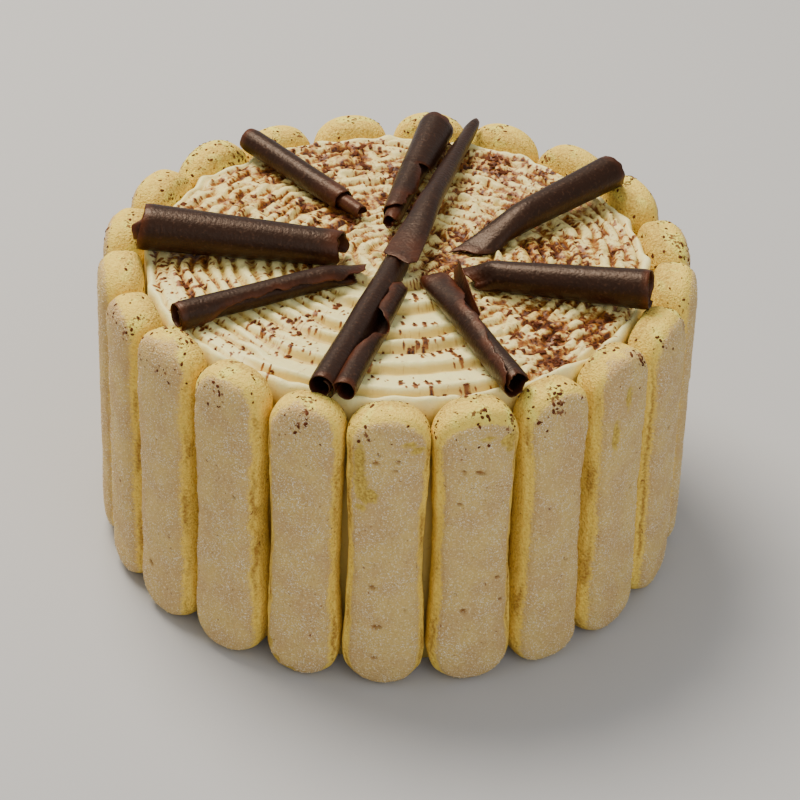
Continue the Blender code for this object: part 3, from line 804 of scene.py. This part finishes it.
# Sugar grains on the crust, and shreds of chocolate lying on the tip
def sprinkleTree():
    tree, given = newTree("sprinkledSugar", {
        "Grain Size": "Float", "Grain Density": "Float", "Speck Density": "Float", "Sugar": "Material",
        "Cocoa": "Material", "Seed": "Int"})
    parts = [given.outputs["Geometry"]]
    grain = addNode(tree, "GeometryNodeMeshCube", inputs={"Size": (1, 1, 1)})
    ball = addNode(tree, "GeometryNodeMeshIcoSphere", inputs={"Radius": 1.0, "Subdivisions": 1})
    shred = addNode(tree, "GeometryNodeTransform",
                    inputs={"Geometry": ball.outputs["Mesh"], "Scale": (1.3, 0.85, 0.3)})
    for attribute, density, material, shape, low, high, tumble, apart in (
            ("grain", "Grain Density", "Sugar", grain.outputs["Mesh"], 0.6, 1.25, 6.28, 0),
            ("speck", "Speck Density", "Cocoa", shred.outputs[0], 0.35, 2.4, 0.3, 50)):
        seed = addNode(tree, "ShaderNodeMath", {"operation": "ADD"}, {0: given.outputs["Seed"], 1: apart})
        mask = addNode(tree, "GeometryNodeInputNamedAttribute", {"data_type": "FLOAT"}, {"Name": attribute})
        amount = addNode(tree, "ShaderNodeMath", {"operation": "MULTIPLY"},
                         {0: mask.outputs[0], 1: given.outputs[density]})
        spots = addNode(tree, "GeometryNodeDistributePointsOnFaces", inputs={
            "Mesh": given.outputs["Geometry"], "Density": amount.outputs[0], "Seed": seed.outputs[0]})
        spin = addNode(tree, "FunctionNodeRandomValue", {"data_type": "FLOAT_VECTOR"},
                       {0: (-tumble, -tumble, 0), 1: (tumble, tumble, 6.28), 8: seed.outputs[0]})
        turned = addNode(tree, "FunctionNodeRotateRotation", {"rotation_space": "LOCAL"},
                         {0: spots.outputs["Rotation"], 1: spin.outputs[0]})
        chance = addNode(tree, "FunctionNodeRandomValue", {"data_type": "FLOAT"},
                         {2: 0.0, 3: 1.0, 8: seed.outputs[0]})
        few = addNode(tree, "ShaderNodeMath", {"operation": "POWER"}, {0: chance.outputs[1], 1: 2.0})
        size = addNode(tree, "ShaderNodeMapRange",
                       inputs={"Value": few.outputs[0], "To Min": low, "To Max": high})
        real = addNode(tree, "ShaderNodeMath", {"operation": "MULTIPLY"},
                       {0: size.outputs[0], 1: given.outputs["Grain Size"]})
        laid = addNode(tree, "GeometryNodeInstanceOnPoints", inputs={
            "Points": spots.outputs["Points"], "Instance": shape,
            "Rotation": turned.outputs[0], "Scale": real.outputs[0]})
        solid = addNode(tree, "GeometryNodeRealizeInstances", inputs={"Geometry": laid.outputs[0]})
        dressed = addNode(tree, "GeometryNodeSetMaterial",
                          inputs={"Geometry": solid.outputs[0], "Material": given.outputs[material]})
        parts.append(dressed.outputs[0])
    whole = addNode(tree, "GeometryNodeJoinGeometry")
    for part in reversed(parts):
        tree.links.new(part, whole.inputs[0])
    addNode(tree, "NodeGroupOutput", inputs={0: whole.outputs[0]})
    return tree


# Baked sponge with a sugar crust: matt and airy, yellow inside, lighter near the tip as a painted highlight,
# toasted at the back, and darker along the break, where it is partly toasted and partly painted shade in the
# crease
biscuitTones = dict(
    pale="#ffde64", deep="#e6bc46", tipHighlight="#ffed6c", toastAndCreaseShade="#94601a", crust="#d7b66c", crystal="#f4e0aa",
    rosy="#cba66a", frost="#fff6d8", bare="#7c5814", pit="#94642a", smudge="#74380f", sugar="#f2dcac",
)


def makeBiscuit():
    material, tree, shader = newMaterial("bakedLadyfingerSponge", {
        "Roughness": 0.8, "Subsurface Weight": 0.1, "Subsurface Radius": (1.0, 0.7, 0.35),
        "Subsurface Scale": 1.5 * mm})
    tones = linearTones(biscuitTones)
    point = addNode(tree, "ShaderNodeTexCoord").outputs["Object"]
    inside, toastAndCreaseShade, pit, worn, tipHighlight, frost = [
        addNode(tree, "ShaderNodeAttribute", {"attribute_name": name}).outputs["Fac"]
        for name in ("inside", "toastAndCreaseShade", "pit", "worn", "speck", "grain")]
    broad, grit = [addNode(tree, "ShaderNodeTexNoise", inputs={
        "Vector": point, "Scale": 1 / (size * mm), "Detail": 3.0}).outputs["Fac"] for size in (11, 0.9)]
    crumb = addNode(tree, "ShaderNodeTexVoronoi", inputs={
        "Vector": point, "Scale": 1 / (0.6 * mm)}).outputs["Distance"]
    mottle = addNode(tree, "ShaderNodeMath", {"operation": "MULTIPLY_ADD", "use_clamp": True},
                     {0: grit, 1: 2.0, 2: -0.6})
    sponge = addNode(tree, "ShaderNodeMix", blendColours,
                     {0: mottle.outputs[0], 6: tones["pale"], 7: tones["deep"]})
    patchy = addNode(tree, "ShaderNodeMath", {"operation": "MULTIPLY", "use_clamp": True},
                     {0: worn, 1: grit})
    baked = addNode(tree, "ShaderNodeMath", {"operation": "MULTIPLY_ADD"}, {0: grit, 1: 0.7, 2: toastAndCreaseShade})
    brown = addNode(tree, "ShaderNodeMapRange", softRange,
                    {"Value": baked.outputs[0], "From Min": 0.55, "From Max": 1.4})
    side = sponge.outputs[2]
    # painted highlight near the tip first, then the bare patches, then the toast with its painted crease
    # shade
    for share, tone in ((tipHighlight, "tipHighlight"), (patchy.outputs[0], "bare"), (brown.outputs[0], "toastAndCreaseShade")):
        side = addNode(tree, "ShaderNodeMix", blendColours, {0: share, 6: side, 7: tones[tone]}).outputs[2]
    # the sugared skin: smooth and cream-coloured where the sugar melted, rosier and gritty elsewhere
    melted, crystal, strewn = [
        addNode(tree, "ShaderNodeMapRange", softRange, {
            "Value": value, "From Min": low, "From Max": high}).outputs[0]
        for value, low, high in ((broad, 0.35, 0.65), (crumb, 0.55, 0.2), (grit, 0.35, 0.7))]
    skin = addNode(tree, "ShaderNodeMix", blendColours, {0: melted, 6: tones["rosy"], 7: tones["crust"]})
    white = addNode(tree, "ShaderNodeMath", {"operation": "MULTIPLY"}, {0: crystal, 1: strewn})
    grainy = addNode(tree, "ShaderNodeMix", blendColours, {0: frost, 6: tones["crystal"], 7: tones["frost"]})
    sugared = addNode(tree, "ShaderNodeMix", blendColours,
                      {0: white.outputs[0], 6: skin.outputs[2], 7: grainy.outputs[2]})
    frayed = addNode(tree, "ShaderNodeMath", {"operation": "MULTIPLY_ADD"}, {0: grit, 1: 1.6, 2: -0.8})
    reach = addNode(tree, "ShaderNodeMath", {"operation": "ADD"}, {0: inside, 1: frayed.outputs[0]})
    crust = addNode(tree, "ShaderNodeMapRange", softRange,
                    {"Value": reach.outputs[0], "From Min": -0.45, "From Max": 0.55})
    face = addNode(tree, "ShaderNodeMix", blendColours,
                   {0: crust.outputs[0], 6: side, 7: sugared.outputs[2]})
    # brown burst bubbles, and cocoa rubbed into the tip
    rubbed = addNode(tree, "ShaderNodeTexNoise", inputs={
        "Vector": point, "Scale": 1 / (2.2 * mm), "Detail": 4.0, "Roughness": 0.65})
    # the near-tip mask of the painted highlight also places the rubbed cocoa
    dusty = addNode(tree, "ShaderNodeMath", {"operation": "MULTIPLY_ADD"},
                    {0: tipHighlight, 1: 0.13, 2: rubbed.outputs["Fac"]})
    smudge = addNode(tree, "ShaderNodeMapRange", softRange,
                     {"Value": dusty.outputs[0], "From Min": 0.64, "From Max": 0.73, "To Max": 0.9})
    colour = face.outputs[2]
    for share, tone in ((pit, "pit"), (smudge.outputs[0], "smudge")):
        colour = addNode(tree, "ShaderNodeMix", blendColours,
                         {0: share, 6: colour, 7: tones[tone]}).outputs[2]
    rough = addNode(tree, "ShaderNodeMath", {"operation": "MULTIPLY_ADD"},
                    {0: crust.outputs[0], 1: 0.2, 2: 0.8})
    low = addNode(tree, "ShaderNodeBump", inputs={"Strength": 1.0, "Distance": 0.6 * mm, "Height": grit})
    bump = addNode(tree, "ShaderNodeBump", inputs={
        "Strength": rough.outputs[0], "Distance": 0.3 * mm, "Height": crumb, "Normal": low.outputs[0]})
    tree.links.new(colour, shader.inputs["Base Color"])
    tree.links.new(bump.outputs["Normal"], shader.inputs["Normal"])
    return material


# Caster sugar: clear crystals that look white and glint
def makeSugar():
    return newMaterial("casterSugar", {
        "Base Color": linearColour(biscuitTones["sugar"]), "Roughness": 0.3, "IOR": 1.54,
        "Transmission Weight": 0.2})[0]


biscuitMaterial = makeBiscuit()
sugarMaterial = makeSugar()
sprinkle = sprinkleTree()
for number, place in enumerate(places, 1):
    finger = buildLadyfinger(number, place, biscuitMaterial, sprinkle, sugarMaterial)
    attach(finger, "root")
    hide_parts(f"ladyfinger_{number:02d}")
print("ladyfingers:", len(places), "of about", len(finger.data.polygons), "faces")


# Chocolate curls: a thin sheet shaved off a slab, which rolls up as it comes off the blade. Millimetres.
# pitch is how far apart the windings are. along and around are the mesh's steps. The sheet is thinner over
# thinBand and browner over rimBand from its edge. mapSize is one unit of its map, and the blade's drag
# lines are linesApart apart and about linesLong long
shaving = dict(
    thickness=0.8, edge=0.22, pitch=1.6, along=0.75, around=0.5, thinBand=2.5, rimBand=3.5, mapSize=100,
    pressFrom=0.55, linesApart=1.4, linesLong=20,
)


# A value on a short profile of (place, value) rows. flat is the profile of an edge that isn't cut
def onProfile(rows, at):
    for (low, first), (high, second) in zip(rows, rows[1:]):
        if at <= high:
            return mix(first, second, between(low, high, at))
    return rows[-1][1]


flat = [(0, 0), (1, 0)]


# The middle of the sheet: a grid of points along the roll and round it, in the roll's own axes
def rollSheet(sheet, length, number):
    along = max(8, round(length / shaving["along"]))
    around = max(8, round(2 * math.pi * max(sheet["radii"]) * sheet["turns"] * 0.85 / shaving["around"]))
    pitch, wound = shaving["pitch"], sheet["wound"]
    press, lift, grid = sheet.get("press", (0, 0)), sheet.get("lift", (0, 0)), []
    for i in range(along + 1):
        station = i / along
        radius = mix(*sheet["radii"], station)
        seam = math.radians(mix(*sheet["seam"], station))
        torn = 0.018 * wander(station * length, number * 13, 3, 5, 20)
        torn += 0.008 * wander(station * length, number * 13, 6, 1.5, 24)
        broken = max(0, onProfile(sheet.get("lip", flat), station) + torn)
        underside = radius - pitch * ((wound * (-math.pi / 2 - seam)) / (2 * math.pi) % 1)
        pressed = mix(press[0] * between(0.35, 0, station),
                      press[1] * between(sheet.get("pressFrom", shaving["pressFrom"]), 1, station),
                      between(0.3, 0.6, station))
        row = []
        for j in range(around + 1):
            share = mix(broken, 1, j / around)
            turned = 2 * math.pi * sheet["turns"] * share
            opened = mix(*lift, station) * max(0, 1 - (share - broken) * sheet["turns"] * 5) ** 2
            here = radius - pitch * sheet["turns"] * share + opened
            sideways = here * math.cos(seam + wound * turned) * (1 + 0.3 * pressed)
            height = (underside + here * math.sin(seam + wound * turned)) * (1 - pressed)
            # the broken ends
            chips = wander(share * 40, number * 13, 0, 5, 20)
            chips += 0.5 * wander(share * 40, number * 13, 9, 1.6, 21)
            outEnd = onProfile(sheet.get("outerCut", flat), share) + sheet["ragged"][0] * chips
            inEnd = onProfile(sheet.get("innerCut", flat), share) + sheet["ragged"][1] * chips
            ahead = length * station - outEnd * between(0.25, 0, station) + inEnd * between(0.7, 1, station)
            sway = 0.25 * wander(station * length, number * 7, 0, 22, 23)
            row.append(Vector((ahead, sideways + sway, height + shaving["thickness"] / 2)))
        grid.append(row)
    return grid


# Gives the sheet its thickness, which runs out towards its edges
def buildSheet(sheet, number, points, faces, rims, maps):
    outer, inner = Vector(sheet["outer"]), Vector(sheet["inner"])
    length = (inner - outer).length
    grid = rollSheet(sheet, length, number)
    along, around = len(grid) - 1, len(grid[0]) - 1
    forward = (inner - outer).normalized()
    left = Vector((0, 0, 1)).cross(forward).normalized()
    turn = Matrix((forward, left, forward.cross(left))).transposed()
    base, wide = len(points), around + 1
    size = (along + 1) * wide
    for side in (1, -1):
        for i in range(along + 1):
            for j in range(around + 1):
                ahead = grid[min(along, i + 1)][j] - grid[max(0, i - 1)][j]
                across = grid[i][min(around, j + 1)] - grid[i][max(0, j - 1)]
                normal = across.cross(ahead).normalized() * side * sheet["wound"]
                border = min(min(i, along - i) * shaving["along"], min(j, around - j) * shaving["around"])
                thin = mix(shaving["edge"], shaving["thickness"], between(0, shaving["thinBand"], border))
                points.append(outer + turn @ (grid[i][j] + normal * thin / 2))
                dusty = 0.8 * max(between(sheet["dust"][0] + 0.1, 0, i * shaving["along"]),
                                  between(sheet["dust"][1] + 0.1, 0, (along - i) * shaving["along"]))
                rims.append(max(between(shaving["rimBand"], 0, border), dusty))
                maps.append((grid[i][j].x, j * shaving["around"]))
    quads = []
    for i in range(along):
        for j in range(around):
            a = base + i * wide + j
            b, c, d = a + 1, a + wide + 1, a + wide
            quads += [(a, b, c, d), (size + a, size + d, size + c, size + b)]
    edge = [*range(around), *(i * wide + around for i in range(along)),
            *(along * wide + j for j in range(around, 0, -1)), *(i * wide for i in range(along, 0, -1))]
    quads += [(base + b, base + a, base + size + a, base + size + b)
              for a, b in zip(edge, edge[1:] + edge[:1])]
    faces += [quad if sheet["wound"] > 0 else quad[::-1] for quad in quads]


def buildCurl(name, sheets, number, material):
    points, faces, rims, maps = [], [], [], []
    for part, sheet in enumerate(sheets):
        buildSheet(sheet, number + 10 * part, points, faces, rims, maps)
    pieceName = name.replace("chocolate_curl_", "chocolateCurl.")
    piece = newPiece(pieceName, points, faces, [material], {"rim": rims})
    layer = piece.data.uv_layers.new(name="sheet")
    for loop in piece.data.loops:
        along, around = maps[loop.vertex_index]
        layer.data[loop.index].uv = (along / shaving["mapSize"], around / shaving["mapSize"])
    return piece


# Dark chocolate, shaved cold: satin, with drag lines from the blade and a faint bloom on top, and
# red-brown where the sheet is thin
chocolateTones = dict(dark="#170905", mid="#2b140a", bloom="#563827", thin="#602d14", shine="#efd0b6")


def makeChocolate():
    tones = linearTones(chocolateTones)
    material, tree, shader = newMaterial("shavedDarkChocolate", {
        "IOR": 1.45, "Specular Tint": tones["shine"]})
    place = addNode(tree, "ShaderNodeTexCoord")
    rim = addNode(tree, "ShaderNodeAttribute", {"attribute_name": "rim"})
    # the blade's drag lines run round the roll
    apart, long = (shaving["mapSize"] / shaving[key] for key in ("linesApart", "linesLong"))
    drawn = addNode(tree, "ShaderNodeMapping",
                    inputs={"Vector": place.outputs["UV"], "Scale": (apart, long, 1)})
    lines = addNode(tree, "ShaderNodeTexNoise",
                    inputs={"Vector": drawn.outputs[0], "Scale": 1.0, "Detail": 3.0})
    cloud, pits = [addNode(tree, "ShaderNodeTexNoise", inputs={
        "Vector": place.outputs["Object"], "Scale": 1 / (size * mm), "Detail": detail}).outputs["Fac"]
        for size, detail in ((7, 4.0), (1.0, 3.0))]
    base = addNode(tree, "ShaderNodeMix", blendColours, {0: cloud, 6: tones["dark"], 7: tones["mid"]})
    speck = addNode(tree, "ShaderNodeMapRange",
                    inputs={"Value": pits, "From Min": 0.58, "From Max": 0.75, "To Max": 0.5})
    worn = addNode(tree, "ShaderNodeMath", {"operation": "MULTIPLY_ADD"}, {0: cloud, 1: 1.6, 2: -0.35})
    edge = addNode(tree, "ShaderNodeMath", {"operation": "MULTIPLY", "use_clamp": True},
                   {0: rim.outputs["Fac"], 1: worn.outputs[0]})
    colour = base.outputs[2]
    for share, tone in ((speck, "bloom"), (edge, "thin")):
        colour = addNode(tree, "ShaderNodeMix", blendColours,
                         {0: share.outputs[0], 6: colour, 7: tones[tone]}).outputs[2]
    rough = addNode(tree, "ShaderNodeMapRange", inputs={"Value": pits, "To Min": 0.26, "To Max": 0.52})
    wave = addNode(tree, "ShaderNodeBump", inputs={
        "Strength": 0.3, "Distance": 0.3 * mm, "Height": lines.outputs["Fac"]})
    bump = addNode(tree, "ShaderNodeBump", inputs={
        "Strength": 0.7, "Distance": 0.25 * mm, "Height": pits, "Normal": wave.outputs[0]})
    tree.links.new(colour, shader.inputs["Base Color"])
    tree.links.new(rough.outputs[0], shader.inputs["Roughness"])
    tree.links.new(bump.outputs["Normal"], shader.inputs["Normal"])
    return material


chocolateMaterial = makeChocolate()
for number, (name, curl) in enumerate(curls.items()):
    piece = buildCurl(name, curl, number, chocolateMaterial)
    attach(piece, "root")
    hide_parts(name)
print("curls:", len(curls))
